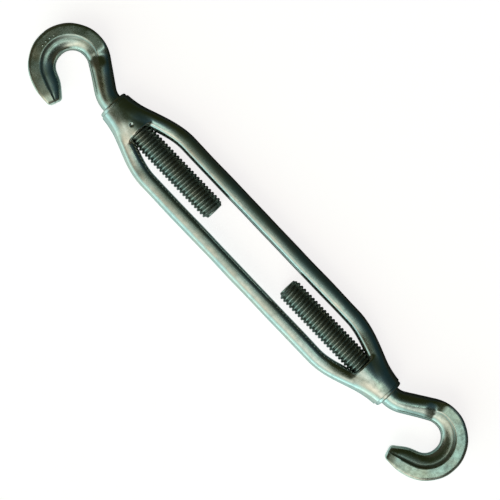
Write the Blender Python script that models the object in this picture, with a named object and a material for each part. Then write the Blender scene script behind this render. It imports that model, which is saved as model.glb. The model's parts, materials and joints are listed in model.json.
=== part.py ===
"""Open-frame rigging turnbuckle with a hook at each end, in forged, zinc-plated steel.

The thread axis lies along X and the hooks and legs lie flat in the XY plane. The right hook (+X) has a
right-hand thread and the left hook (-X) a left-hand one, so the left end is the right end's mirror image.
Both hooks are drawn fully screwed in. Lengths below are in millimetres and meshes are built in metres.
"""
import math

import bmesh
import bpy

MM = 0.001
TURN = 2 * math.pi
SHARP_ANGLE = 40.0              # degrees: edges turned further than this stay sharp
SLOPE_STEP = 0.01

# Thread: 3/8 in, 16 turns per inch
PITCH = 25.4 / 16
MALE_CREST_R = 4.74
MALE_ROOT_R = 3.85
FEMALE_CREST_R = 4.96           # the tapped bore's groove, clear of the male crest
FEMALE_ROOT_R = 4.10            # the tapped bore's ridge, clear of the male root
RADIAL_STEPS = 16               # facets round the shank and in one turn of thread
RUN_OUT = 1.6                   # the thread fades to nothing over this length at each end

# Frame
FRAME_HALF = 76.2               # half the frame's length, to the boss mouths
WINDOW_HALF = 61.3              # half the opening between the bosses' inner faces
RIM_LENGTH = 1.5                # the round lip at each boss mouth
SEAM = 0.3                      # gap between the lip's solid and the rest of the boss
MOUTH_R = 6.25
BOSS_R = 6.6
RIM_R = 6.15
RIM_BORE_R = 5.0
RIM_CHAMFER = 0.65
RIM_COUNTERSINK = 0.3
BOSS_EDGE = 0.8                 # the rounding of the boss's inner end, cut in two flats
BOSS_EDGE_CORNER = 0.3          # where the two flats meet, as a part of BOSS_EDGE
BOSS_BARREL = 7.0               # the boss keeps its full radius over this length
BOSS_NOSE = 3.0                 # and is nearly straight again over this one, at the mouth
BOSS_NOSE_TAPER = 0.08
BOSS_FACETS = 32
LEG_OFFSET = 10.37              # leg centre to thread axis on the straight middle
LEG_WIDTH = 6.6
LEG_HEIGHT = 6.9
LEG_ROOT_HEIGHT = 10.4          # the legs deepen as they run into the boss
LEG_BEND_START = 45.5
LEG_BEND_END = 77.5
LEG_DEEPEN_START = 50.0
LEG_DEEPEN_END = 70.0
LEG_ROOT_OFFSET = 2.6
LEG_END = 73.8                  # the leg's blank end, buried in the boss
LEG_RINGS = 14
BORE_RELIEF_R = 5.1             # the drill also clears the leg roots beside the shank
BORE_RELIEF_END = 44.0
RELIEF_GAP = 0.01               # the relief stops this short of the boss's inner face
CUTTER_INNER_REACH = 3.0        # how far the tap runs past the boss at each end
CUTTER_OUTER_REACH = 2.0

# Hook
SHANK_TIP = 19.9                # inner end of the shank, hook fully in
THREAD_END = 75.0
SHANK_R = 4.2
END_CHAMFER_R = 3.6
NECK_START = 76.3               # the shank leaves its axis here
NECK_BEND_R = 10.0
NECK_BEND_RINGS = 5
NECK_RINGS = (0.35, 0.7)        # sections of the neck's straight run, as parts of its length
NECK_WIDENS = 0.2               # by the end of that run it would be this much wider,
NECK_THINS = 0.3                # this much thinner
NECK_FLATNESS = 0.3             # and this flat (0 is round, 1 is the bowl's section)
BOWL_CENTRE = (97.5, -1.35)
BOWL_R = 11.0                   # the bowl's centre line
BOWL_STEP = 12.0                # degrees between two sections of the bowl
BOWL_LAST_STEP = 2.0            # degrees: the least step to the bowl's last section
BOWL_IN_THICKNESS = 8.1
BOWL_IN_FLATNESS = 0.25
FLATTEN_FROM = 130.0            # degrees round the bowl from its crown, where the flattening starts
FLATTEN_OVER = 45.0
TIP_HEADING = -160.0            # degrees: where the bowl's arc stops and the tip runs straight
TIP_LENGTH = 10.6
TIP_WIDTH = 5.2
TIP_RINGS = (2.0, 4.0, 5.7, 7.4)
HOOK_THICKNESS = 7.4
TIP_THICKNESS = 5.6
TIP_EDGE = 0.9

# Placing: the bosses' lowest facets are at z = 0, and the box round the whole part is centred on y = 0
AXIS_HEIGHT = BOSS_R * math.cos(math.pi / BOSS_FACETS)
AXIS_Y = 1.7

# Width of the bowl: (degrees from the crown, width), and of the tip: (distance along it, width)
BOWL_WIDTHS = [(-180, 9.8), (-70, 10.2), (-6, 10.6), (6, 10.6), (45, 10.2), (90, 9.5), (125, 8.6)]
TIP_WIDTHS = [(0, 10.2), (4, 9.6), (7.4, 7.6), (TIP_LENGTH, TIP_WIDTH)]

# Half of the bowl's section, outer edge to inner edge: (part of the width, part of the thickness)
FLAT_SECTION = [
    (0.00, 0.34), (0.08, 0.50), (0.30, 0.50), (0.50, 0.50),
    (0.71, 0.46), (0.86, 0.37), (0.96, 0.26), (1.00, 0.15),
]


def smoothstep(t):
    t = min(max(t, 0.0), 1.0)
    return t * t * (3 - 2 * t)


def table(x, keys):
    """Straight interpolation in (position, value) pairs in rising order."""
    if x <= keys[0][0]:
        return keys[0][1]
    for (xa, ya), (xb, yb) in zip(keys, keys[1:]):
        if x <= xb:
            return ya + (yb - ya) * (x - xa) / (xb - xa)
    return keys[-1][1]


def steel(name, colour, roughness):
    material = bpy.data.materials.new(name)
    material.use_nodes = True
    shader = material.node_tree.nodes["Principled BSDF"]
    shader.inputs["Base Color"].default_value = (*colour, 1.0)
    shader.inputs["Metallic"].default_value = 1.0
    shader.inputs["Roughness"].default_value = roughness
    return material


def make_object(name, verts, faces, material=None, mirrored=False):
    """A mesh object from points relative to the thread axis; a mirrored one is for the left end."""
    side = -1 if mirrored else 1
    mesh = bpy.data.meshes.new(name)
    mesh.from_pydata([(side * x * MM, y * MM, z * MM) for x, y, z in verts], [], faces)
    work = bmesh.new()
    work.from_mesh(mesh)
    bmesh.ops.recalc_face_normals(work, faces=work.faces)
    work.to_mesh(mesh)
    work.free()
    mesh.shade_smooth()
    mesh.set_sharp_from_angle(angle=math.radians(SHARP_ANGLE))
    if material:
        mesh.materials.append(material)
    item = bpy.data.objects.new(name, mesh)
    item.location = (0, AXIS_Y * MM, AXIS_HEIGHT * MM)
    bpy.context.scene.collection.objects.link(item)
    return item


def make_helper(name, verts, faces, mirrored=False):
    item = make_object(name, verts, faces, mirrored=mirrored)
    item.hide_render = True
    item.display_type = "WIRE"
    return item


def boolean(target, other, operation):
    modifier = target.modifiers.new(other.name, "BOOLEAN")
    modifier.operation = operation
    modifier.object = other
    modifier.solver = "EXACT"


def loft(rings):
    """Quads between rings of equal count, with a flat cap at each end."""
    count = len(rings[0])
    verts = [p for ring in rings for p in ring]
    faces = []
    for r in range(len(rings) - 1):
        for i in range(count):
            j = (i + 1) % count
            faces.append((r * count + i, r * count + j, (r + 1) * count + j, (r + 1) * count + i))
    faces.append(tuple(range(count)))
    last = (len(rings) - 1) * count
    faces.append(tuple(last + i for i in range(count)))
    return verts, faces


def round_ring(x, radius, count):
    angles = [TURN * (i + 0.5) / count for i in range(count)]
    return [(x, radius * math.cos(a), radius * math.sin(a)) for a in angles]


def turned(profile, count):
    """A closed ring turned about X from an (x, radius) outline."""
    verts = [p for x, radius in profile for p in round_ring(x, radius, count)]
    faces = []
    for r in range(len(profile)):
        s = (r + 1) % len(profile)
        for i in range(count):
            j = (i + 1) % count
            faces.append((r * count + i, r * count + j, s * count + j, s * count + i))
    return verts, faces


def thread_skin(start, end, crest, root, end_radii, run_out):
    """A right-hand screw thread along X between two flat polygons.

    Each meridian carries one point per crest and per root of the helix. Near an end the thread fades into
    that end's radius. Returns the points, the faces, and the indices of the two end polygons.
    """
    verts, faces, ends = [], [], ([], [])
    index = {}
    half = PITCH / 2
    first = math.floor((start - PITCH) / half)
    last = math.ceil((end + PITCH) / half)

    def radius_at(x, k):
        full = crest if k % 2 == 0 else root
        if run_out == 0:
            return full
        nearest = 0 if x < (start + end) / 2 else 1
        depth = smoothstep(abs(x - (start, end)[nearest]) / run_out)
        return end_radii[nearest] + (full - end_radii[nearest]) * depth

    def point(i, k):
        """Index of knot k on meridian i; a knot past an end becomes that end's own point."""
        k += 2 * (i // RADIAL_STEPS)
        i %= RADIAL_STEPS
        x = k * half + PITCH * i / RADIAL_STEPS
        where = 0 if x <= start else 1 if x >= end else None
        key = (i, k) if where is None else (i, "end", where)
        if key not in index:
            angle = TURN * (i + 0.5) / RADIAL_STEPS
            x = (start, end)[where] if where is not None else x
            radius = end_radii[where] if where is not None else radius_at(x, k)
            index[key] = len(verts)
            verts.append((x, radius * math.cos(angle), radius * math.sin(angle)))
        return index[key]

    for i in range(RADIAL_STEPS):
        for k in range(first, last):
            loop = [point(i, k), point(i + 1, k), point(i + 1, k + 1), point(i, k + 1)]
            face = [v for n, v in enumerate(loop) if v not in loop[:n]]
            if len(face) > 2:
                faces.append(tuple(face))
        ends[0].append(index[(i, "end", 0)])
        ends[1].append(index[(i, "end", 1)])
    return verts, faces, ends


def hook_path():
    """Stations along the hook: (point, heading in radians, width, thickness, flatness)."""
    cx, cy = BOWL_CENTRE
    reach = cx - NECK_START
    drop = NECK_BEND_R - cy
    # The neck's straight run is tangent both to its first bend and to the bowl's centre line
    lean = math.asin((NECK_BEND_R + BOWL_R) / math.hypot(reach, drop)) - math.atan2(drop, reach)
    stations = []

    def station(x, y, heading, width, thickness, flatness):
        stations.append(((x, y), heading, width, thickness, flatness))

    for n in range(NECK_BEND_RINGS):
        a = lean * n / (NECK_BEND_RINGS - 1)
        station(NECK_START + NECK_BEND_R * math.sin(a), NECK_BEND_R * (1 - math.cos(a)),
                a, 2 * SHANK_R, 2 * SHANK_R, 0.0)
    bowl_in = math.pi / 2 + lean
    bowl_out = math.radians(TIP_HEADING + 90)
    x0 = NECK_START + NECK_BEND_R * math.sin(lean)
    y0 = NECK_BEND_R * (1 - math.cos(lean))
    x1 = cx + BOWL_R * math.cos(bowl_in)
    y1 = cy + BOWL_R * math.sin(bowl_in)
    for t in NECK_RINGS:
        station(x0 + (x1 - x0) * t, y0 + (y1 - y0) * t, lean, 2 * SHANK_R + NECK_WIDENS * t,
                2 * SHANK_R - NECK_THINS * t, NECK_FLATNESS * t)

    half_turn = round(180 / BOWL_STEP)
    steps = [BOWL_STEP * n - BOWL_STEP / 2 for n in range(half_turn, -half_turn, -1)]
    first = math.degrees(bowl_in)
    last = math.degrees(bowl_out)
    angles = [first] + [a for a in steps if last + BOWL_LAST_STEP < a <= first] + [last]
    for a in angles:
        phi = math.radians(a)
        flat = smoothstep((FLATTEN_FROM - a) / FLATTEN_OVER)
        thick = BOWL_IN_THICKNESS + (HOOK_THICKNESS - BOWL_IN_THICKNESS) * flat
        station(cx + BOWL_R * math.cos(phi), cy + BOWL_R * math.sin(phi), phi - math.pi / 2,
                table(a, BOWL_WIDTHS), thick, BOWL_IN_FLATNESS + (1 - BOWL_IN_FLATNESS) * flat)

    heading = math.radians(TIP_HEADING)
    x2 = cx + BOWL_R * math.cos(bowl_out)
    y2 = cy + BOWL_R * math.sin(bowl_out)
    for s in (*TIP_RINGS, TIP_LENGTH - TIP_EDGE):
        thick = HOOK_THICKNESS + (TIP_THICKNESS - HOOK_THICKNESS) * smoothstep(s / TIP_LENGTH)
        station(x2 + s * math.cos(heading), y2 + s * math.sin(heading), heading,
                table(s, TIP_WIDTHS), thick, 1.0)
    station(x2 + TIP_LENGTH * math.cos(heading), y2 + TIP_LENGTH * math.sin(heading), heading,
            TIP_WIDTH - 2 * TIP_EDGE, TIP_THICKNESS - 2 * TIP_EDGE, 1.0)
    return stations


def hook_ring(station):
    """One section of the hook, blended from a circle to the flat-faced bowl section."""
    (x, y), heading, width, thickness, flatness = station
    outward = (-math.sin(heading), math.cos(heading))
    ring = []
    upper = [(width * (0.5 - s), thickness * h) for s, h in FLAT_SECTION]
    flat = upper + [(a, -b) for a, b in reversed(upper)]
    for i in range(RADIAL_STEPS):
        angle = TURN * (i + 0.5) / RADIAL_STEPS
        across = flat[i][0] * flatness + width / 2 * math.cos(angle) * (1 - flatness)
        height = flat[i][1] * flatness + thickness / 2 * math.sin(angle) * (1 - flatness)
        ring.append((x + outward[0] * across, y + outward[1] * across, height))
    return ring


def make_hook(name, material, mirrored):
    verts, faces, ends = thread_skin(SHANK_TIP, THREAD_END, MALE_CREST_R, MALE_ROOT_R,
                                     (END_CHAMFER_R, SHANK_R), RUN_OUT)
    faces.append(tuple(ends[0]))
    previous = ends[1]
    for station in hook_path():
        base = len(verts)
        verts += hook_ring(station)
        for i in range(RADIAL_STEPS):
            j = (i + 1) % RADIAL_STEPS
            faces.append((previous[i], previous[j], base + j, base + i))
        previous = list(range(base, base + RADIAL_STEPS))
    faces.append(tuple(previous))
    return make_object(name, verts, faces, material, mirrored)


def leg_offset(x):
    t = (abs(x) - LEG_BEND_START) / (LEG_BEND_END - LEG_BEND_START)
    return LEG_OFFSET + (LEG_ROOT_OFFSET - LEG_OFFSET) * smoothstep(t)


def leg_shape(side):
    """One leg: an oval bar that bends in at both ends and deepens into the bosses."""
    half = [LEG_BEND_START + (LEG_END - LEG_BEND_START) * n / LEG_RINGS for n in range(LEG_RINGS + 1)]
    rings = []
    for x in [-v for v in reversed(half)] + half:
        slope = (leg_offset(x + SLOPE_STEP) - leg_offset(x - SLOPE_STEP)) / (2 * SLOPE_STEP)
        length = math.hypot(1, slope)
        normal = (-slope / length, 1 / length)
        deepen = smoothstep((abs(x) - LEG_DEEPEN_START) / (LEG_DEEPEN_END - LEG_DEEPEN_START))
        height = LEG_HEIGHT + (LEG_ROOT_HEIGHT - LEG_HEIGHT) * deepen
        ring = []
        for i in range(RADIAL_STEPS):
            angle = TURN * (i + 0.5) / RADIAL_STEPS
            across = LEG_WIDTH / 2 * math.cos(angle)
            ring.append((x + normal[0] * across, side * (leg_offset(x) + normal[1] * across),
                         height / 2 * math.sin(angle)))
        rings.append(ring)
    return loft(rings)


def boss_shape():
    """The boss's solid barrel, before it is bored; it stops short of the mouth's lip."""
    end = FRAME_HALF - RIM_LENGTH - SEAM
    corner = BOSS_EDGE * BOSS_EDGE_CORNER
    profile = [(WINDOW_HALF, BOSS_R - BOSS_EDGE), (WINDOW_HALF + corner, BOSS_R - corner),
               (WINDOW_HALF + BOSS_EDGE, BOSS_R), (WINDOW_HALF + BOSS_BARREL, BOSS_R),
               (end - BOSS_NOSE, MOUTH_R + BOSS_NOSE_TAPER), (end, MOUTH_R)]
    return loft([round_ring(x, radius, BOSS_FACETS) for x, radius in profile])


def rim_shape():
    """The boss mouth's lip: round all over, with a countersunk plain bore."""
    inner = FRAME_HALF - RIM_LENGTH
    return turned([(inner, RIM_BORE_R), (inner, RIM_R), (FRAME_HALF - RIM_CHAMFER, RIM_R),
                   (FRAME_HALF, RIM_R - RIM_CHAMFER), (FRAME_HALF, RIM_BORE_R + RIM_COUNTERSINK),
                   (FRAME_HALF - RIM_COUNTERSINK, RIM_BORE_R)], BOSS_FACETS)


def bore_cutter():
    """A screw-shaped core that leaves a tapped bore, longer than the boss at both ends."""
    verts, faces, ends = thread_skin(WINDOW_HALF - CUTTER_INNER_REACH, FRAME_HALF + CUTTER_OUTER_REACH,
                                     FEMALE_CREST_R, FEMALE_ROOT_R, (FEMALE_CREST_R, FEMALE_CREST_R), 0)
    return verts, faces + [tuple(ends[0]), tuple(ends[1])]


def relief_cutter():
    return loft([round_ring(BORE_RELIEF_END, BORE_RELIEF_R, BOSS_FACETS),
                 round_ring(WINDOW_HALF - RELIEF_GAP, BORE_RELIEF_R, BOSS_FACETS)])


def make_frame(material):
    frame = make_object("frame", *leg_shape(1), material)
    boolean(frame, make_helper("lower_leg", *leg_shape(-1)), "UNION")
    for end, mirrored in (("right", False), ("left", True)):
        boolean(frame, make_helper(end + "_boss", *boss_shape(), mirrored=mirrored), "UNION")
    for end, mirrored in (("right", False), ("left", True)):
        boolean(frame, make_helper(end + "_bore", *bore_cutter(), mirrored=mirrored), "DIFFERENCE")
        boolean(frame, make_helper(end + "_relief", *relief_cutter(), mirrored=mirrored), "DIFFERENCE")
    return frame


def build():
    for item in list(bpy.data.objects):
        bpy.data.objects.remove(item)
    frame_steel = steel("frame_zinc", (0.48, 0.52, 0.48), 0.32)
    hook_steel = steel("hook_zinc", (0.42, 0.47, 0.43), 0.34)
    make_frame(frame_steel)
    for end, mirrored in (("right", False), ("left", True)):
        make_object(end + "_boss_rim", *rim_shape(), frame_steel, mirrored)
        make_hook(end + "_hook", hook_steel, mirrored)


build()
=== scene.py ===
"""Looks of the rigging turnbuckle: forged and zinc-plated frame, boss lips and threaded hooks.

Lengths are in millimetres from the thread axis, with x along it; meshes are built in metres. Everything is
drawn for the right end (+X) and mirrored for the left one, whose thread is left-handed.
"""

import json
import math

import bmesh
import bpy
import numpy as np
from mathutils import Matrix, Vector


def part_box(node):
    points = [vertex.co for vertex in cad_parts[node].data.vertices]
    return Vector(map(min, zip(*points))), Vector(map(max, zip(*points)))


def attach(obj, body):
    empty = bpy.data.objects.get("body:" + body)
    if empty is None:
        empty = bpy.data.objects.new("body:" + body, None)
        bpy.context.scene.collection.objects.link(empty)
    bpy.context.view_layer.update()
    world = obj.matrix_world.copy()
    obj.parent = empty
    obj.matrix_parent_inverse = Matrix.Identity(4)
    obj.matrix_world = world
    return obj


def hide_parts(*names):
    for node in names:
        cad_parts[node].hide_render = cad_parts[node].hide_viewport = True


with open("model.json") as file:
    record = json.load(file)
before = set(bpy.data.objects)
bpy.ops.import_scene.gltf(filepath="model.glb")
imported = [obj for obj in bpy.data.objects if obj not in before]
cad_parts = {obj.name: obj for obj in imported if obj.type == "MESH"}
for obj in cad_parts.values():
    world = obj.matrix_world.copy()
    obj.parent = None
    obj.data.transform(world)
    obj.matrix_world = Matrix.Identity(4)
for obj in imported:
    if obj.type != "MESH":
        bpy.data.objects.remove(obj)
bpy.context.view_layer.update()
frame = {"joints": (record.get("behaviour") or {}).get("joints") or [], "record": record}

MM = 0.001
TURN = 2 * math.pi
TINY = 1e-9                     # keeps divisions and powers away from zero
WAVE_SPREAD = (0.7, 1.6)        # shortest and longest wave of an unevenness, in wavelengths
JOINTS = {joint["name"]: joint for joint in frame["joints"]}
MOUNTS = {mount["name"]: mount for mount in frame["record"]["mounts"]}
AXIS_POINT = JOINTS["right_hook_turn"]["pos_m"]
SEAM = 0.08                     # the boss stops this far short of its lip

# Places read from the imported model
MOUTH = AXIS_POINT[0] / MM      # the boss mouth
RIM_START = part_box("right_boss_rim")[0].x / MM
FACE = RIM_START - SEAM
SHANK_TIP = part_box("right_hook")[0].x / MM
SADDLE_X = MOUNTS["right_hook_saddle"]["pos_m"][0] / MM
SADDLE_Y = (MOUNTS["right_hook_saddle"]["pos_m"][1] - AXIS_POINT[1]) / MM

# Thread: 3/8 in, 16 turns per inch
PITCH = 25.4 / 16
MALE_CREST_R = 4.74
MALE_ROOT_R = 4.10
FEMALE_CREST_R = 4.98           # the female radii are those of the tap, so its crest is the bore's widest
FEMALE_ROOT_R = 4.12
THREAD_KNOTS = [                # (part of a pitch, part of the thread's height)
    (0.0, 1.0), (0.14, 0.97), (0.20, 0.86), (0.43, 0.07),
    (0.5, 0.0), (0.57, 0.07), (0.80, 0.86), (0.86, 0.97),
]
CREST_SHADE_AND_DULLNESS = 0.72              # how dull even the thread's crests are, and how dark they are painted as painted shade, next to its roots at 1
RUN_OUT = 1.6                   # the shank's thread rises from its ends over this length
TAP_RUN_OUT = 0.4
SPARE_TURNS = 2                 # turns past each end, which are clipped to it
ROUND = 64                      # facets round a shank or a bore

# Frame
WINDOW_HALF = 61.3              # half the opening between the bosses
BOSS_R = 6.6
MOUTH_R = 6.2
BOSS_EDGE = 0.5
TAPER_START = 5                 # from the boss's inner face to where it starts to narrow
TAPER_RUN = 9
LEG_OFFSET = 10.37
LEG_WIDTH = 6.6
LEG_HEIGHT = 6.9
LEG_ROOT_HEIGHT = 10.4
LEG_DEEPEN_START = 50
LEG_DEEPEN_RUN = 20
LEG_BEND_START = 45.5
LEG_BEND_END = 77.5
LEG_ROOT_OFFSET = 2.6
LEG_APEX = -0.22                # the leg's highest line sits this part of the half width towards the axis
LEG_SQUARENESS = 2.35           # superellipse exponent of the leg's section
LEG_FLASH = 0.06                # how far the trimmed flash line of the forging stands out
LEG_FLASH_REACH = 0.4
FILLET = 1.7                    # how softly the legs and bosses flow together
WANDER = 0.05                   # the forging's unevenness
WANDER_LENGTH = 14.0
WANDER_SEED = 3
VOXEL = 0.34
FRAME_SHARP = 38                # degrees between faces that make a sharp edge
RELAX_PASSES = 4
RELAX_SHARE = 0.5

# Tubes that the remesher joins, before their points settle on the forging's surface
ROUGH_ROUND = 24
ROUGH_LEG_END = 74.0
ROUGH_LEG_RINGS = 120
ROUGH_BOSS_END = 76.5
ROUGH_BOSS_R = BOSS_R - 0.1
PROBE = 0.02                    # the field's slope is taken over this length to either side
LEAST_SLOPE = 0.05              # least squared slope to divide by
LONGEST_MOVE = 0.5

# Bore, from the window to the boss's end face
RELIEF_R = 4.8
RELIEF_END = 44.0
BORE_START = WINDOW_HALF - 0.05
BORE_SINK = 0.3
FACING_R = 9.0
FACING_DEPTH = 5

# Punch dimple on the left boss
PUNCH = (-64.9, -0.3, 7.35)     # centre of the ball-ended punch
PUNCH_R = 1.1
PUNCH_EDGE = 0.2
PUNCH_FINE_R = 2.2              # the mesh is finer this close to its centre
PUNCH_CUTS = 2

# Lip at each boss mouth
LIP_R = 6.17
LIP_BORE_R = 5.02
LIP_EDGE = 0.62
LIP_EDGE_RINGS = 9
LIP_SINK = 0.32
LIP_CHAMFER = 0.12
LIP_ROUND = 128
LIP_SHARP = 30

# Hook
SHANK_R = 4.2
END_R = 3.6
END_DOME = [(0.0, END_R), (0.12, END_R - 0.25), (0.2, 1.5)]     # (past the shank's end, radius)
END_RISE = 0.22
THREAD_END = 75.0
NECK_START = 76.3
NECK_BEND_R = 10.0
BOWL_R = 11.0
CROWN_WIDTH = 10.6
BOWL_CENTRE = (SADDLE_X - BOWL_R + CROWN_WIDTH / 2, SADDLE_Y)
BOWL_END = math.radians(-70)    # polar angle where the bowl's arc stops and the tip runs straight
TIP_LENGTH = 10.6
TIP_WIDTH = 5.2
TIP_THICKNESS = 6.2
TIP_EDGE = 1.1
HOOK_THICKNESS = 7.4

# How its section changes, as (degrees round the bowl, value) and (length past the bowl's end, value)
BOWL_WIDTHS = [(122, 8.7), (90, 9.5), (45, 10.2), (6, CROWN_WIDTH), (-6, CROWN_WIDTH)]
TIP_WIDTHS = [(0, 10.2), (4, 9.6), (7.4, 7.6), (TIP_LENGTH, TIP_WIDTH)]
BOWL_THICKNESSES = [(135, 8.1), (116, 6.6), (106, HOOK_THICKNESS)]
TIP_THICKNESSES = [(0, HOOK_THICKNESS), (7, 7.1), (TIP_LENGTH, TIP_THICKNESS)]
BOWL_FLATNESS = [(122, 0.25), (106, 1)]
TIP_FLATNESS = [(TIP_LENGTH, 1)]
HEADING_REACH = 0.8             # how far the corners between such values are rounded
WIDTH_REACH = 1.6
THICKNESS_REACH = 0.7
FLATNESS_REACH = 1.0
PATH_STEP = 0.05
RING_STEP = 0.5
END_RINGS = 8                   # rings round the tip's edge
END_GAP = 0.2                   # least room between them and the even rings

# The bowl's section, in parts of its width and thickness from the middle
CORNER_WIDTH = 0.07
CORNER_HEIGHT = 0.13
CORNER_POINTS = 14
PAD_START = 0.42
PAD_EDGE = 0.04                 # the raised pad ends here
PAD_GAP = 0.03                  # from its last point to its edge
PAD_POINTS = 12
PAD_STEP = 0.07                 # height of the step at its edge
STEP_WIDTH = 0.075
STEP_POINTS = 8
FLANK_POWER = 0.85              # below 1, the inner half is fuller than an ellipse
FLANK_POINTS = 40
STEP_PAINTED_SHADE = 0.8                      # how dark the step's foot is painted: painted shade in the crease
STEP_SHADE_OFFSET = 0.06              # from the pad's edge to the foot
STEP_SHADE_REACH = 0.045

# The hook's forging marks
HOOK_FLASH = 0.07
HOOK_FLASH_REACH = 0.35
SWELL = 0.009                   # its unevenness, as part of the half width
SWELL_LENGTH = 7.0
SWELL_SEED = 11
SWELL_START = 2                 # past the neck's start
SWELL_RUN = 6

# Pips on the left hook's crown
PIPS = 4
PIP_STEP = 1.9
PIP_RING_R = 12.9
PIP_TURN = math.radians(2)
PIP_R = 0.42
PIP_RISE = 0.16
PIP_SINK = 0.4                  # how deep each one starts, as part of its rise
PIP_TOP = 0.1                   # its last ring, as part of its radius
PIP_RINGS = 7
PIP_ROUND = 16


def smoothstep(t):
    t = np.clip(t, 0.0, 1.0)
    return t * t * (3 - 2 * t)


def unevenness(points, wavelength, seed):
    """Smooth wandering, mostly between -1 and 1, from a few waves in fixed, odd directions."""
    draw = np.random.default_rng(seed)
    total = np.zeros(len(points))
    waves = 7
    for _ in range(waves):
        direction = draw.normal(size=3)
        direction /= np.linalg.norm(direction)
        length = wavelength * draw.uniform(*WAVE_SPREAD)
        total += np.sin(points @ direction * TURN / length + draw.uniform(0, TURN))
    return total / math.sqrt(waves)


# ---------------------------------------------------------------- meshes

MERGE_M = 2e-6                  # points closer than this become one
DEGENERATE_M = 1e-7
SHARP = 40                      # degrees between faces that make a sharp edge


def make_piece(name, verts, faces, mirrored, sharp=SHARP, attributes=None):
    """An object from points in millimetres round the thread axis, with doubled points merged."""
    points = np.array(verts, float)
    if mirrored:
        points[:, 0] *= -1
    mesh = bpy.data.meshes.new(name)
    mesh.from_pydata((points * MM).tolist(), [], faces)
    for label, values in (attributes or {}).items():
        mesh.attributes.new(label, "FLOAT", "POINT").data.foreach_set("value", values)
    work = bmesh.new()
    work.from_mesh(mesh)
    bmesh.ops.remove_doubles(work, verts=work.verts, dist=MERGE_M)
    bmesh.ops.dissolve_degenerate(work, edges=work.edges, dist=DEGENERATE_M)
    bmesh.ops.recalc_face_normals(work, faces=work.faces)
    work.to_mesh(mesh)
    work.free()
    mesh.shade_smooth()
    mesh.set_sharp_from_angle(angle=math.radians(sharp))
    item = bpy.data.objects.new(name, mesh)
    bpy.context.scene.collection.objects.link(item)
    return item


def place(item):
    """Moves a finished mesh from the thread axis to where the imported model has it."""
    item.data.transform(Matrix.Translation((0, AXIS_POINT[1], AXIS_POINT[2])))


def grid_faces(first, rows, columns):
    """Quads between rows of points, each row closed on itself."""
    faces = []
    for r in range(rows - 1):
        for i in range(columns):
            j = (i + 1) % columns
            a = first + r * columns
            faces.append((a + i, a + j, a + columns + j, a + columns + i))
    return faces


def circle(x, radius, count=ROUND):
    """Points round the thread axis, in one plane square to it."""
    angles = np.arange(count) * TURN / count
    return np.column_stack([np.full(count, x), radius * np.cos(angles), radius * np.sin(angles)])


def add_rings(verts, faces, rings):
    """Appends a loft through rings of equal count."""
    first = len(verts)
    for ring in rings:
        verts.extend(ring.tolist())
    faces.extend(grid_faces(first, len(rings), len(rings[0])))


def add_cap(verts, faces, ring, centre):
    """Appends a fan from a ring to one point."""
    first = len(verts)
    verts.extend(ring.tolist())
    verts.append(centre)
    count = len(ring)
    faces.extend((first + i, first + (i + 1) % count, first + count) for i in range(count))


def add_closed(verts, faces, rings):
    """Appends a loft with a cap at each end."""
    add_rings(verts, faces, rings)
    add_cap(verts, faces, rings[0], rings[0].mean(axis=0).tolist())
    add_cap(verts, faces, rings[-1], rings[-1].mean(axis=0).tolist())


def add_thread(verts, faces, start, end, crest, root, end_radii, run_out):
    """A right-hand thread between two plane ends, with its rows laid along the helix.

    Returns how dull each new point is and how dark it is painted, as painted shade that deepens into the
    roots: the crest level on the crest, 1 at the root, and 0 at the far end.
    """
    knots = len(THREAD_KNOTS)
    low = math.floor(start / PITCH) - SPARE_TURNS
    turns = math.ceil((end - start) / PITCH) + 2 * SPARE_TURNS + 1
    parts = np.array([part for part, _ in THREAD_KNOTS])
    heights = np.array([height for _, height in THREAD_KNOTS])
    along = (low + np.repeat(np.arange(turns), knots) + np.tile(parts, turns)) * PITCH
    height = np.tile(heights, turns)
    first = len(verts)
    shade_and_dullness = []
    for i in range(ROUND):
        angle = TURN * i / ROUND
        x = np.clip(along + PITCH * i / ROUND, start, end)
        radius = root + (crest - root) * height
        for plane, end_radius in zip((start, end), end_radii):
            depth = smoothstep(np.abs(x - plane) / run_out)
            radius = end_radius + (radius - end_radius) * depth
        verts.extend(np.column_stack([x, radius * math.cos(angle), radius * math.sin(angle)]).tolist())
        # Painted shade and dullness: darkest in the roots, less on the crests
        shade_and_dullness.extend((CREST_SHADE_AND_DULLNESS + (1 - CREST_SHADE_AND_DULLNESS) * (1 - height)) * smoothstep((end - x) / run_out))
    rows = len(along)
    for i in range(ROUND):
        shift = knots if i == ROUND - 1 else 0
        a = first + i * rows
        b = first + ((i + 1) % ROUND) * rows + shift
        for k in range(rows - 1 - shift):
            faces.append((a + k, b + k, b + k + 1, a + k + 1))
    return shade_and_dullness


# ---------------------------------------------------------------- hooks

def flat_section():
    """Half of the bowl's section as (outward, up) for width and thickness 1, outer edge to inner edge.

    The outer half is a raised flat pad; a small step leads down to the rounded inner half. Each run of points
    starts a little past the one before it.
    """
    quarter = math.pi / 2
    corner = [(0.5 - CORNER_WIDTH * (1 - math.cos(a)), 0.5 - CORNER_HEIGHT * (1 - math.sin(a)))
              for a in np.linspace(0, quarter, CORNER_POINTS)]
    pad = [(x, 0.5) for x in np.linspace(PAD_START, PAD_EDGE + PAD_GAP, PAD_POINTS)]
    step = [(PAD_EDGE - STEP_WIDTH * t, 0.5 - PAD_STEP * float(smoothstep(t)))
            for t in np.linspace(0.05, 1, STEP_POINTS)]
    low_x, low_z = step[-1]
    flank = [(low_x - (0.5 + low_x) * math.sin(a), low_z * max(math.cos(a), 0.0) ** FLANK_POWER)
             for a in np.linspace(0.08, quarter, FLANK_POINTS)]
    return np.array([(0.5, 0.0)] + corner + pad + step + flank)


def resample(line, fractions):
    """Points at the given fractions of a line's length."""
    steps = np.linalg.norm(np.diff(line, axis=0), axis=1)
    length = np.concatenate([[0], np.cumsum(steps)])
    wanted = fractions * length[-1]
    return np.column_stack([np.interp(wanted, length, line[:, n]) for n in (0, 1)])


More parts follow.
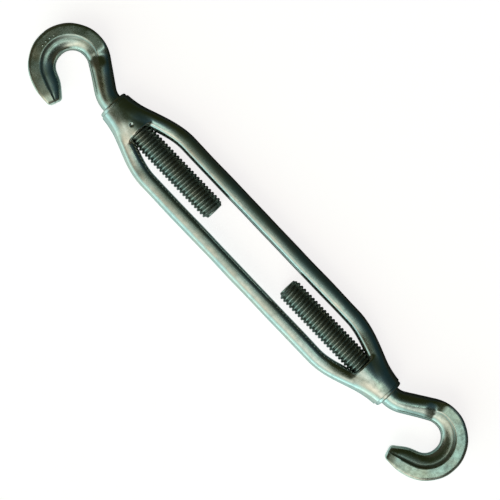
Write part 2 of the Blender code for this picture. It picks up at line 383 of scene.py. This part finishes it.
def section_points():
    """The flat-faced section and the round one, point for point, each for width and thickness 1."""
    half = ROUND // 2
    upper = resample(flat_section(), np.arange(half + 1) / half)
    lower = upper[1:half][::-1] * (1, -1)
    angles = np.arange(ROUND) * TURN / ROUND
    return np.vstack([upper, lower]), 0.5 * np.column_stack([np.cos(angles), np.sin(angles)])


def smooth_keys(s, keys, reach):
    """Values between (position, value) keys, with their corners rounded over a reach."""
    places, values = zip(*keys)
    samples = 9
    offsets = np.linspace(-reach, reach, samples)
    return np.mean([np.interp(s + offset, places, values) for offset in offsets], axis=0)


def hook_stations():
    """The centre line and the section along it, from the end of the thread to the tip."""
    cx, cy = BOWL_CENTRE
    reach = cx - NECK_START
    drop = NECK_BEND_R - cy
    lean = math.asin((NECK_BEND_R + BOWL_R) / math.hypot(reach, drop)) - math.atan2(drop, reach)
    bowl_in = math.pi / 2 + lean
    neck = NECK_START - THREAD_END
    bend = NECK_BEND_R * lean
    run = math.sqrt(reach ** 2 + drop ** 2 - (NECK_BEND_R + BOWL_R) ** 2)
    bowl = BOWL_R * (bowl_in - BOWL_END)
    marks = np.cumsum([0, neck, bend, run, bowl, TIP_LENGTH])
    bend_end, bowl_start, bowl_end, tip_end = marks[2:]
    last = math.pi / 2 - BOWL_END
    headings = [0, 0, lean, lean, -last, -last]

    fine = np.arange(0, tip_end, PATH_STEP)
    heading = smooth_keys(fine, list(zip(marks, headings)), HEADING_REACH)
    x = THREAD_END + np.concatenate([[0], np.cumsum(np.cos(heading[:-1]) * PATH_STEP)])
    y = np.concatenate([[0], np.cumsum(np.sin(heading[:-1]) * PATH_STEP)])

    def make_keys(on_neck, round_bowl, past_bowl):
        """Keys along the whole line: a plain neck, then the bowl by its polar angle, then the tip."""
        keys = [(0, on_neck), (bend_end, on_neck)]
        for degrees, value in round_bowl:
            keys.append((bowl_start + BOWL_R * (bowl_in - math.radians(degrees)), value))
        return keys + [(bowl_end + past, value) for past, value in past_bowl]

    end_rings = TIP_LENGTH - TIP_EDGE * (1 - np.sin(np.linspace(0, math.pi / 2, END_RINGS)))
    even_rings = np.arange(0, bowl_end + TIP_LENGTH - TIP_EDGE - END_GAP, RING_STEP)
    s = np.concatenate([even_rings, bowl_end + end_rings])
    width = smooth_keys(s, make_keys(2 * SHANK_R, BOWL_WIDTHS, TIP_WIDTHS), WIDTH_REACH)
    thick = smooth_keys(s, make_keys(2 * SHANK_R, BOWL_THICKNESSES, TIP_THICKNESSES), THICKNESS_REACH)
    flat = smooth_keys(s, make_keys(0, BOWL_FLATNESS, TIP_FLATNESS), FLATNESS_REACH)
    from_end = np.clip((tip_end - s) / TIP_EDGE, 0, 1)
    shrink = 2 * TIP_EDGE * (1 - np.sqrt(1 - (1 - from_end) ** 2))
    return {
        "x": np.interp(s, fine, x), "y": np.interp(s, fine, y), "heading": np.interp(s, fine, heading),
        "width": width - shrink, "thick": thick - shrink, "flat": flat,
    }


def hook_rings():
    """The hook's loft, from the end of the thread to the tip, one ring of points to each station."""
    flat_points, round_points = section_points()
    path = hook_stations()
    rings = []
    for n in range(len(path["x"])):
        flat = path["flat"][n]
        section = flat_points * flat + round_points * (1 - flat)
        across = section[:, 0] * path["width"][n]
        height = section[:, 1] * path["thick"][n]
        # The trimmed flash line of the forging, on the inner and outer edge
        ridge = HOOK_FLASH * flat * np.exp(-(height / HOOK_FLASH_REACH) ** 2)
        across = across + np.sign(across) * ridge
        out_x, out_y = -math.sin(path["heading"][n]), math.cos(path["heading"][n])
        rings.append(np.column_stack([path["x"][n] + out_x * across, path["y"][n] + out_y * across, height]))
    points = np.vstack(rings)
    shape = (len(rings), ROUND, 3)
    fade = smoothstep((points[:, 0] - NECK_START - SWELL_START) / SWELL_RUN)
    swell = 1 + SWELL * unevenness(points, SWELL_LENGTH, SWELL_SEED) * fade
    centres = np.repeat(np.column_stack([path["x"], path["y"], np.zeros(len(rings))]), ROUND, axis=0)
    return list((centres + (points - centres) * swell[:, None]).reshape(shape))


def step_shade():
    """How dark each point of the hook's loft is painted: painted shade along the foot of the pad's step."""
    across = section_points()[0][:, 0]
    foot = np.exp(-((across - PAD_EDGE + STEP_SHADE_OFFSET) / STEP_SHADE_REACH) ** 2)
    return (STEP_PAINTED_SHADE * hook_stations()["flat"][:, None] * foot[None, :]).ravel().tolist()


def add_pips(verts, faces):
    """Four plain round pips raised on the crown's flat face."""
    for n in range(PIPS):
        angle = (n - (PIPS - 1) / 2) * PIP_STEP / PIP_RING_R
        x = BOWL_CENTRE[0] + PIP_RING_R * math.cos(angle + PIP_TURN)
        y = BOWL_CENTRE[1] + PIP_RING_R * math.sin(angle + PIP_TURN)
        rings = []
        for rise in np.linspace(-PIP_SINK, 1, PIP_RINGS):
            reach = PIP_R * math.sqrt(1 - max(rise, 0) ** 2) if rise < 1 else PIP_R * PIP_TOP
            ring = circle(0, reach, PIP_ROUND)
            rings.append(np.column_stack([x + ring[:, 1], y + ring[:, 2],
                                          np.full(PIP_ROUND, HOOK_THICKNESS / 2 + PIP_RISE * rise)]))
        add_closed(verts, faces, rings)


def make_hook(name, mirrored):
    verts, faces = [], []
    shade_and_dullness = list(add_thread(verts, faces, SHANK_TIP, THREAD_END, MALE_CREST_R, MALE_ROOT_R,
                             (END_R, SHANK_R), RUN_OUT))
    dome = [circle(SHANK_TIP - past, radius) for past, radius in END_DOME]
    add_rings(verts, faces, dome)
    add_cap(verts, faces, dome[-1], (SHANK_TIP - END_RISE, 0, 0))
    rings = hook_rings()
    loft = len(verts)
    add_rings(verts, faces, rings)
    centre = rings[-1].mean(axis=0)
    add_cap(verts, faces, rings[-1], centre.tolist())
    if mirrored:
        add_pips(verts, faces)
    # The foot of the pad's step gets painted shade, in the same attribute as the thread
    step = step_shade()
    shade_and_dullness += [0.0] * (len(verts) - len(shade_and_dullness))
    shade_and_dullness[loft:loft + len(step)] = step
    hook = make_piece(name, verts, faces, mirrored, attributes={"shade_and_dullness": shade_and_dullness})
    place(hook)
    return hook


# ---------------------------------------------------------------- frame

def leg_offset(x):
    """How far a leg's middle lies from the thread axis."""
    t = (np.abs(x) - LEG_BEND_START) / (LEG_BEND_END - LEG_BEND_START)
    return LEG_OFFSET + (LEG_ROOT_OFFSET - LEG_OFFSET) * smoothstep(t)


def soft_min(a, b, reach):
    """The smaller of two distances, blended where they differ by less than the reach."""
    h = np.clip(0.5 + 0.5 * (b - a) / reach, 0, 1)
    return b + (a - b) * h - reach * h * (1 - h)


def leg_height(x):
    """The legs' full height, which grows towards their roots."""
    deepen = smoothstep((np.abs(x) - LEG_DEEPEN_START) / LEG_DEEPEN_RUN)
    return LEG_HEIGHT + (LEG_ROOT_HEIGHT - LEG_HEIGHT) * deepen


def leg_field(points, side):
    """About how far each point lies outside one leg, negative inside."""
    x, y, z = points.T
    nudge = 0.01
    slope = (leg_offset(x + nudge) - leg_offset(x - nudge)) / (2 * nudge)
    across = (side * y - leg_offset(x)) / np.sqrt(1 + slope ** 2) / (LEG_WIDTH / 2)
    half_widths = np.where(across > LEG_APEX, 1 - LEG_APEX, 1 + LEG_APEX)
    skew = (across - LEG_APEX) / half_widths
    power = LEG_SQUARENESS
    reach = (np.abs(skew) ** power + np.abs(z / (leg_height(x) / 2)) ** power + TINY) ** (1 / power)
    flash = LEG_FLASH * np.exp(-(z / LEG_FLASH_REACH) ** 2) * smoothstep(across * 2)
    return (reach - 1) * LEG_WIDTH / 2 - flash


def boss_field(points):
    """About how far each point lies outside the bosses, which both run on outwards without end."""
    x = np.abs(points[:, 0])
    radius = np.hypot(points[:, 1], points[:, 2])
    wall = BOSS_R + (MOUTH_R - BOSS_R) * smoothstep((x - WINDOW_HALF - TAPER_START) / TAPER_RUN)
    in_x = WINDOW_HALF - x + BOSS_EDGE
    in_r = radius - wall + BOSS_EDGE
    corner = np.hypot(np.maximum(in_x, 0), np.maximum(in_r, 0))
    return corner + np.minimum(np.maximum(in_x, in_r), 0) - BOSS_EDGE


def frame_field(points):
    """The forging's smooth outside: two legs that flow into the bosses."""
    legs = soft_min(leg_field(points, 1), leg_field(points, -1), FILLET)
    body = soft_min(legs, boss_field(points), FILLET)
    punch = PUNCH_R - np.linalg.norm(points - np.array(PUNCH), axis=1)
    body = -soft_min(-body, -punch, PUNCH_EDGE)
    return body + WANDER * unevenness(points, WANDER_LENGTH, WANDER_SEED)


def settle(points, passes=6):
    """Moves points onto the frame's surface."""
    for _ in range(passes):
        value = frame_field(points)
        slope = np.empty_like(points)
        for axis in range(3):
            shift = np.zeros(3)
            shift[axis] = PROBE
            slope[:, axis] = (frame_field(points + shift) - frame_field(points - shift)) / (2 * PROBE)
        size = np.maximum((slope ** 2).sum(axis=1), LEAST_SLOPE)
        move = -(value / size)[:, None] * slope
        length = np.maximum(np.linalg.norm(move, axis=1), TINY)
        points = points + move * np.minimum(1, LONGEST_MOVE / length)[:, None]
    return points


def rough_frame():
    """Overlapping closed tubes, for the remesher to join."""
    verts, faces = [], []
    unit = circle(0, 1, ROUGH_ROUND)
    for side in (1, -1):
        rings = []
        for x in np.linspace(-ROUGH_LEG_END, ROUGH_LEG_END, ROUGH_LEG_RINGS):
            y = side * leg_offset(x) + unit[:, 1] * LEG_WIDTH / 2
            rings.append(np.column_stack([np.full(ROUGH_ROUND, x), y, unit[:, 2] * leg_height(x) / 2]))
        add_closed(verts, faces, rings)
    for side in (1, -1):
        ends = [circle(side * x, ROUGH_BOSS_R, ROUGH_ROUND) for x in (WINDOW_HALF, ROUGH_BOSS_END)]
        add_closed(verts, faces, ends)
    return verts, faces


def bore_cutter(mirrored):
    """What is bored, tapped and faced away at one end of the frame, in one closed solid."""
    verts, faces = [], []
    sink_start = FACE - BORE_SINK
    facing_end = FACE + FACING_DEPTH
    relief = [circle(RELIEF_END, RELIEF_R), circle(BORE_START, RELIEF_R), circle(BORE_START, FEMALE_CREST_R)]
    facing = [circle(sink_start, FEMALE_CREST_R), circle(FACE, FEMALE_CREST_R + BORE_SINK),
              circle(FACE, FACING_R), circle(facing_end, FACING_R)]
    add_cap(verts, faces, relief[0], (RELIEF_END, 0, 0))
    add_rings(verts, faces, relief)
    add_thread(verts, faces, BORE_START, sink_start, FEMALE_CREST_R, FEMALE_ROOT_R,
               (FEMALE_CREST_R, FEMALE_CREST_R), TAP_RUN_OUT)
    add_rings(verts, faces, facing)
    add_cap(verts, faces, facing[-1], (facing_end, 0, 0))
    return make_piece("cutter", verts, faces, mirrored)


def apply_modifiers(item):
    """Replaces the item's mesh by what its modifiers make of it."""
    graph = bpy.context.evaluated_depsgraph_get()
    mesh = bpy.data.meshes.new_from_object(item.evaluated_get(graph))
    item.modifiers.clear()
    item.data = mesh


def refine_round(mesh, centre, reach, cuts):
    """Splits the edges near one point, for a small feature."""
    work = bmesh.new()
    work.from_mesh(mesh)
    near = {v for v in work.verts if (v.co / MM - Vector(centre)).length < reach}
    edges = [e for e in work.edges if e.verts[0] in near and e.verts[1] in near]
    bmesh.ops.subdivide_edges(work, edges=edges, cuts=cuts, use_grid_fill=True)
    work.to_mesh(mesh)
    work.free()


def read_points(mesh):
    flat = np.empty(len(mesh.vertices) * 3)
    mesh.vertices.foreach_get("co", flat)
    return flat.reshape(-1, 3) / MM


def write_points(mesh, points):
    mesh.vertices.foreach_set("co", (points * MM).ravel())
    mesh.update()


def relax(points, edges, share):
    """Pulls each point part of the way to the mean of its neighbours."""
    total = np.zeros_like(points)
    count = np.zeros(len(points))
    for a, b in ((0, 1), (1, 0)):
        np.add.at(total, edges[:, a], points[edges[:, b]])
        np.add.at(count, edges[:, a], 1)
    return points + share * (total / np.maximum(count, 1)[:, None] - points)


def make_frame():
    body = make_piece("frame_body", *rough_frame(), False)
    remesh = body.modifiers.new("join", "REMESH")
    remesh.mode = "VOXEL"
    remesh.voxel_size = VOXEL * MM
    apply_modifiers(body)
    mesh = body.data
    refine_round(mesh, PUNCH, PUNCH_FINE_R, PUNCH_CUTS)
    edges = np.array([edge.vertices[:] for edge in mesh.edges])
    points = settle(read_points(mesh))
    for _ in range(RELAX_PASSES):
        points = settle(relax(points, edges, RELAX_SHARE), passes=2)
    write_points(mesh, points)
    for mirrored in (False, True):
        cutter = bore_cutter(mirrored)
        cut = body.modifiers.new("bore", "BOOLEAN")
        cut.operation = "DIFFERENCE"
        cut.solver = "EXACT"
        cut.object = cutter
        apply_modifiers(body)
        bpy.data.objects.remove(cutter)
    body.data.shade_smooth()
    body.data.set_sharp_from_angle(angle=math.radians(FRAME_SHARP))
    place(body)
    return body


def make_rim(name, mirrored):
    """The lip at a boss mouth: a turned ring with a rounded outer edge and a countersunk bore."""
    round_over = [(MOUTH - LIP_EDGE * (1 - math.sin(a)), LIP_R - LIP_EDGE * (1 - math.cos(a)))
                  for a in np.linspace(0, math.pi / 2, LIP_EDGE_RINGS)]
    profile = [(RIM_START, LIP_BORE_R), (RIM_START, LIP_R - LIP_CHAMFER), (RIM_START + LIP_CHAMFER, LIP_R)]
    profile += round_over
    profile += [(MOUTH, LIP_BORE_R + LIP_SINK), (MOUTH - LIP_SINK, LIP_BORE_R)]
    rings = [circle(x, radius, LIP_ROUND) for x, radius in profile]
    verts, faces = [], []
    add_rings(verts, faces, rings + [rings[0]])
    rim = make_piece(name, verts, faces, mirrored, sharp=LIP_SHARP)
    place(rim)
    return rim


# ---------------------------------------------------------------- materials

# Zinc plate: lengths of its patterns, the noise levels between which each one comes in, and how much it does
BLOTCH_LENGTH = 11.0
MOTTLE_LENGTH = 1.9
GRAIN_LENGTH = 0.28
LATHE_LENGTH = 0.16
PIT_SPACING = 1.7
PIT_EDGES = (0.04, 0.13)        # distance from a pit's middle, as part of the spacing
BLOTCH_EDGES = (0.46, 0.68)
DUST_EDGES = (0.45, 0.8)
ROUGH_EDGES = (0.3, 0.7)
DUST = 0.3
PIT_SOOT = 0.25
# how far the thread and the foot of the hook's step are painted dark, as painted shade
GROOVE_PAINTED_SHADE = 0.85
GROOVE_ROUGH = 0.22
MOTTLE_RELIEF = 0.5
GRAIN_RELIEF = 0.12
PIT_RELIEF = 0.25
BUMP_STRENGTH = 0.3
BUMP_DEPTH = 0.10


def add_node(tree, kind, inputs, **settings):
    """A node whose inputs are set from values or joined to the sockets given."""
    item = tree.nodes.new(kind)
    for key, value in settings.items():
        setattr(item, key, value)
    for key, value in inputs.items():
        if isinstance(value, bpy.types.NodeSocket):
            tree.links.new(value, item.inputs[key])
        else:
            item.inputs[key].default_value = value
    return item


def add_noise(tree, vector, wavelength, detail, roughness=0.55):
    """Noise with features of about one wavelength, in millimetres."""
    noise = add_node(tree, "ShaderNodeTexNoise", {"Vector": vector, "Scale": 1 / (wavelength * MM),
                                                  "Detail": detail, "Roughness": roughness})
    return noise.outputs["Fac"]


def add_range(tree, value, low, high, to_low, to_high):
    item = add_node(tree, "ShaderNodeMapRange", {"Value": value, "From Min": low, "From Max": high,
                                                 "To Min": to_low, "To Max": to_high})
    return item.outputs["Result"]


def add_mix(tree, factor, first, second):
    """A mix of two colours. The Mix node has its factor at 0, numbers at 2 and 3, and colours at 6 and 7."""
    item = add_node(tree, "ShaderNodeMix", {0: factor, 6: first, 7: second}, data_type="RGBA")
    return item.outputs[2]


def add_math(tree, operation, *values):
    item = add_node(tree, "ShaderNodeMath", dict(enumerate(values)), operation=operation)
    return item.outputs[0]


def zinc(name, cool, warm, soot_and_shade_colour, low_rough, high_rough, turned=0.0):
    """Zinc plate over forged or machined steel: cool and warm blotches, mottling, grain and fine pits, with
    painted shade where the mesh's painted-shade attribute asks for it.
    """
    material = bpy.data.materials.new(name)
    material.use_nodes = True
    tree = material.node_tree
    shader = tree.nodes["Principled BSDF"]
    place_in = add_node(tree, "ShaderNodeTexCoord", {}).outputs["Object"]
    blotch = add_noise(tree, place_in, BLOTCH_LENGTH, detail=2.0)
    mottle = add_noise(tree, place_in, MOTTLE_LENGTH, detail=4.0, roughness=0.6)
    grain = add_noise(tree, place_in, GRAIN_LENGTH, detail=2.0)
    pits = add_node(tree, "ShaderNodeTexVoronoi", {"Vector": place_in, "Scale": 1 / (PIT_SPACING * MM)})
    pit = add_range(tree, pits.outputs["Distance"], *PIT_EDGES, 1.0, 0.0)
    shade_and_dullness = add_node(tree, "ShaderNodeAttribute", {}, attribute_name="shade_and_dullness").outputs["Fac"]

    tint = add_mix(tree, add_range(tree, blotch, *BLOTCH_EDGES, 0.0, 1.0), cool, warm)
    dusty = add_mix(tree, add_range(tree, mottle, *DUST_EDGES, 0.0, DUST), tint, soot_and_shade_colour)
    worn = add_mix(tree, add_math(tree, "MULTIPLY", pit, PIT_SOOT), dusty, soot_and_shade_colour)
    # Painted shade: the marked thread and step are mixed towards the dark colour, which above also gives the
    # real dust and pits
    with_painted_shade = add_mix(tree, add_math(tree, "MULTIPLY", shade_and_dullness, GROOVE_PAINTED_SHADE), worn, soot_and_shade_colour)
    tree.links.new(with_painted_shade, shader.inputs["Base Color"])

    rough = add_range(tree, mottle, *ROUGH_EDGES, low_rough, high_rough)
    rough = add_math(tree, "ADD", rough, add_math(tree, "MULTIPLY", shade_and_dullness, GROOVE_ROUGH))
    tree.links.new(rough, shader.inputs["Roughness"])

    height = add_math(tree, "MULTIPLY", mottle, MOTTLE_RELIEF)
    height = add_math(tree, "ADD", height, add_math(tree, "MULTIPLY", grain, GRAIN_RELIEF))
    height = add_math(tree, "SUBTRACT", height, add_math(tree, "MULTIPLY", pit, PIT_RELIEF))
    if turned:
        rings = add_math(tree, "MULTIPLY", lathe_marks(tree, place_in), turned)
        height = add_math(tree, "ADD", height, rings)
    bump = add_node(tree, "ShaderNodeBump", {"Height": height, "Strength": BUMP_STRENGTH,
                                             "Distance": BUMP_DEPTH * MM})
    tree.links.new(bump.outputs["Normal"], shader.inputs["Normal"])
    shader.inputs["Metallic"].default_value = 1.0
    return material


def lathe_marks(tree, place_in):
    """Fine rings round the thread axis."""
    centred = add_node(tree, "ShaderNodeVectorMath", {0: place_in, 1: (0, AXIS_POINT[1], AXIS_POINT[2])},
                       operation="SUBTRACT").outputs[0]
    parts = add_node(tree, "ShaderNodeSeparateXYZ", {0: centred})
    radius = add_math(tree, "POWER", add_math(tree, "ADD", add_math(tree, "POWER", parts.outputs[1], 2.0),
                                              add_math(tree, "POWER", parts.outputs[2], 2.0)), 0.5)
    rings = add_node(tree, "ShaderNodeCombineXYZ", {0: parts.outputs[0], 1: radius}).outputs[0]
    return add_noise(tree, rings, LATHE_LENGTH, detail=1.0)


# ---------------------------------------------------------------- stage

# Camera, in metres
VIEW_TURN = math.radians(46.4)  # how far the part lies turned in the picture
VIEW_DISTANCE = 0.75
VIEW_WIDTH = 0.190              # what the picture spans at the height of the thread axis
VIEW_Y = 0.0013
SENSOR = 36.0                   # in millimetres

# Floor, in metres
FLOOR_HALF = 3.0
PAPER_LENGTH = 40.0             # length of its unevenness in tone, in millimetres
PAPER_DARKER = (0.73, 0.735, 0.73, 1)
PAPER_LIGHTER = (0.75, 0.755, 0.75, 1)
PAPER_ROUGHNESS = 0.9
FLOOR_LIFT = 0.84               # how much the floor glows for the eye
FLOOR_GLOW = (1.0, 0.97, 0.975, 1)
PAINTED_REFLECTION_STRENGTH = 0.65                   # painted reflection: how much the floor glows for the metal, on the -Y side
# colour of the painted reflection
PAINTED_REFLECTION_COLOUR = (0.74, 1.0, 0.97, 1)
PAINTED_REFLECTION_EDGES = (-0.018, 0.010)  # y between which the painted reflection gives way to painted shadow
# painted shadow on the +Y side, for the metal to mirror
PAINTED_SHADOW_COLOUR = (0.06, 0.07, 0.06, 1)

# Light by angle round the thread axis: (degrees from straight up towards +Y, colour)
LEFT_LIGHT = [
    (-100, (0.60, 0.90, 0.87)), (-87, (0.95, 1.40, 1.35)), (-70, (0.78, 1.14, 1.09)),
    (-56, (0.74, 1.00, 0.94)), (-46, (0.90, 0.83, 0.67)), (-30, (0.55, 0.52, 0.38)),
    (-14, (0.27, 0.265, 0.16)), (0, (0.15, 0.155, 0.08)), (15, (0.07, 0.08, 0.03)),
    (40, (0.035, 0.042, 0.017)), (70, (0.015, 0.022, 0.012)), (100, (0.015, 0.025, 0.02)),
]
RIGHT_LIGHT = [
    (-100, (0.80, 1.12, 1.10)), (-87, (1.40, 2.00, 1.95)), (-72, (1.00, 1.48, 1.42)),
    (-58, (0.78, 1.10, 1.04)), (-46, (0.82, 0.86, 0.76)), (-34, (1.40, 1.38, 1.22)),
    (-16, (1.22, 1.30, 1.18)), (0, (0.45, 0.58, 0.56)), (14, (0.13, 0.20, 0.22)),
    (30, (0.04, 0.07, 0.08)), (50, (0.015, 0.035, 0.04)), (100, (0.015, 0.03, 0.03)),
]

# Where the light changes, as parts of a unit direction: x leans towards +X, and y to either side
SIDE_EDGES = (-0.12, 0.12)              # x: left light to right light
CARD = (1.10, 1.50, 1.28, 1)            # the light card right above the right hook
CARD_SIDES = (0.09, 0.20)               # y: fades out
CARD_START = (0.085, 0.135)             # x: fades in
CARD_STOP = (0.165, 0.21)               # x: fades out
SHADE = 0.95                            # how much the two dark patches hide
LEFT_SHADE = (0.020, 0.024, 0.008, 1)
LEFT_SHADE_EDGES = (-0.120, -0.102)     # x: fades out
LEFT_SHADE_ROLL = (math.radians(-66), math.radians(-36))
RIGHT_SHADE = (0.020, 0.018, 0.008, 1)
RIGHT_SHADE_EDGES = (0.20, 0.28)        # x: fades in
RIGHT_SHADE_SIDES = (0.26, 0.44)        # y: fades out
END_LIGHT = (0.06, 0.055, 0.035, 1)     # beyond both ends of the part
END_EDGES = (0.50, 0.75)                # x, either way
END_GLOW = (0.28, 0.34, 0.32, 1)        # straight along +X
END_GLOW_EDGES = (0.92, 0.99)           # x


def add_camera():
    data = bpy.data.cameras.new("camera")
    data.sensor_width = SENSOR
    data.lens = SENSOR * VIEW_DISTANCE / VIEW_WIDTH
    camera = bpy.data.objects.new("camera", data)
    camera.location = (0, VIEW_Y, AXIS_POINT[2] + VIEW_DISTANCE)
    camera.rotation_euler = (0, 0, VIEW_TURN)
    bpy.context.scene.collection.objects.link(camera)
    bpy.context.scene.camera = camera


def add_floor():
    mesh = bpy.data.meshes.new("floor")
    corners = [(x * FLOOR_HALF, y * FLOOR_HALF, 0) for x, y in ((-1, -1), (1, -1), (1, 1), (-1, 1))]
    mesh.from_pydata(corners, [], [(0, 1, 2, 3)])
    floor = bpy.data.objects.new("floor", mesh)
    bpy.context.scene.collection.objects.link(floor)
    material = bpy.data.materials.new("pale_paper")
    material.use_nodes = True
    tree = material.node_tree
    shader = tree.nodes["Principled BSDF"]
    place_in = add_node(tree, "ShaderNodeTexCoord", {}).outputs["Object"]
    tone = add_mix(tree, add_noise(tree, place_in, PAPER_LENGTH, detail=3.0), PAPER_DARKER, PAPER_LIGHTER)
    # The eye sees even paper; the metal sees a painted reflection, bright on the -Y side, and a painted
    # shadow, dark on the +Y side
    seen = add_node(tree, "ShaderNodeLightPath", {}).outputs["Is Camera Ray"]
    across = add_node(tree, "ShaderNodeSeparateXYZ", {0: place_in}).outputs[1]
    painted_reflection = add_range(tree, across, *PAINTED_REFLECTION_EDGES, PAINTED_REFLECTION_STRENGTH, 0.0)
    reflected_with_painted_shadow = add_mix(tree, painted_reflection, PAINTED_SHADOW_COLOUR, tone)
    tree.links.new(add_mix(tree, seen, reflected_with_painted_shadow, tone), shader.inputs["Base Color"])
    shader.inputs["Roughness"].default_value = PAPER_ROUGHNESS
    lift = add_node(tree, "ShaderNodeMix", {0: seen, 2: painted_reflection, 3: FLOOR_LIFT}, data_type="FLOAT")
    tree.links.new(lift.outputs[0], shader.inputs["Emission Strength"])
    tree.links.new(add_mix(tree, seen, PAINTED_REFLECTION_COLOUR, FLOOR_GLOW), shader.inputs["Emission Color"])
    mesh.materials.append(material)


def light_ramp(tree, factor, stops):
    """Light by angle round the thread axis, with a factor of 0 to 1 for -180 to 180 degrees."""
    item = add_node(tree, "ShaderNodeValToRGB", {"Fac": factor})
    ramp = item.color_ramp
    ramp.interpolation = "EASE"
    ramp.elements.remove(ramp.elements[1])
    ramp.elements[0].position = 0.0
    ramp.elements[0].color = (*stops[0][1], 1)
    for degrees, colour in stops:
        ramp.elements.new((degrees + 180) / 360).color = (*colour, 1)
    return item.outputs["Color"]


def add_light():
    """A studio of long soft strips beside the part, brighter over its right end, as one world shader."""
    world = bpy.data.worlds.new("studio")
    bpy.context.scene.world = world
    world.use_nodes = True
    tree = world.node_tree
    background = tree.nodes["Background"]
    direction = add_node(tree, "ShaderNodeTexCoord", {}).outputs["Generated"]
    x, y, z = add_node(tree, "ShaderNodeSeparateXYZ", {0: direction}).outputs
    x_size = add_math(tree, "ABSOLUTE", x)
    y_size = add_math(tree, "ABSOLUTE", y)
    roll = add_math(tree, "ARCTAN2", y, z)
    factor = add_range(tree, roll, -math.pi, math.pi, 0.0, 1.0)
    sky = add_mix(tree, add_range(tree, x, *SIDE_EDGES, 0.0, 1.0),
                  light_ramp(tree, factor, LEFT_LIGHT), light_ramp(tree, factor, RIGHT_LIGHT))

    card = add_math(tree, "MULTIPLY", add_range(tree, y_size, *CARD_SIDES, 1.0, 0.0),
                    add_range(tree, x, *CARD_START, 0.0, 1.0))
    card = add_math(tree, "MULTIPLY", card, add_range(tree, x, *CARD_STOP, 1.0, 0.0))
    sky = add_mix(tree, card, sky, CARD)

    far_left = add_math(tree, "MULTIPLY", add_range(tree, x, *LEFT_SHADE_EDGES, 1.0, 0.0),
                        add_range(tree, roll, *LEFT_SHADE_ROLL, 0.0, SHADE))
    sky = add_mix(tree, far_left, sky, LEFT_SHADE)
    far_right = add_math(tree, "MULTIPLY", add_range(tree, x, *RIGHT_SHADE_EDGES, 0.0, SHADE),
                         add_range(tree, y_size, *RIGHT_SHADE_SIDES, 1.0, 0.0))
    sky = add_mix(tree, far_right, sky, RIGHT_SHADE)

    sky = add_mix(tree, add_range(tree, x_size, *END_EDGES, 0.0, 1.0), sky, END_LIGHT)
    sky = add_mix(tree, add_range(tree, x, *END_GLOW_EDGES, 0.0, 1.0), sky, END_GLOW)
    tree.links.new(sky, background.inputs["Color"])
    background.inputs["Strength"].default_value = 1.0


# ---------------------------------------------------------------- the part

frame_zinc = zinc("frame_zinc", cool=(0.58, 0.655, 0.63, 1), warm=(0.68, 0.65, 0.575, 1),
                  soot_and_shade_colour=(0.22, 0.25, 0.22, 1), low_rough=0.14, high_rough=0.27)
hook_zinc = zinc("hook_zinc", cool=(0.56, 0.65, 0.615, 1), warm=(0.66, 0.63, 0.53, 1),
                 soot_and_shade_colour=(0.18, 0.21, 0.18, 1), low_rough=0.15, high_rough=0.29)
rim_zinc = zinc("rim_zinc", cool=(0.58, 0.655, 0.63, 1), warm=(0.66, 0.64, 0.57, 1),
                soot_and_shade_colour=(0.22, 0.25, 0.22, 1), low_rough=0.16, high_rough=0.28, turned=0.6)

body = make_frame()
body.data.materials.clear()
body.data.materials.append(frame_zinc)
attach(body, "frame")
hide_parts("frame")

for end, mirrored in (("right", False), ("left", True)):
    rim = make_rim(end + "_lip", mirrored)
    rim.data.materials.append(rim_zinc)
    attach(rim, end + "_turner")
    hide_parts(end + "_boss_rim")
    hook = make_hook(end + "_hook_body", mirrored)
    hook.data.materials.append(hook_zinc)
    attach(hook, end + "_hook")
    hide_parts(end + "_hook")

add_camera()
add_floor()
add_light()
bpy.context.scene.view_settings.view_transform = "Standard"
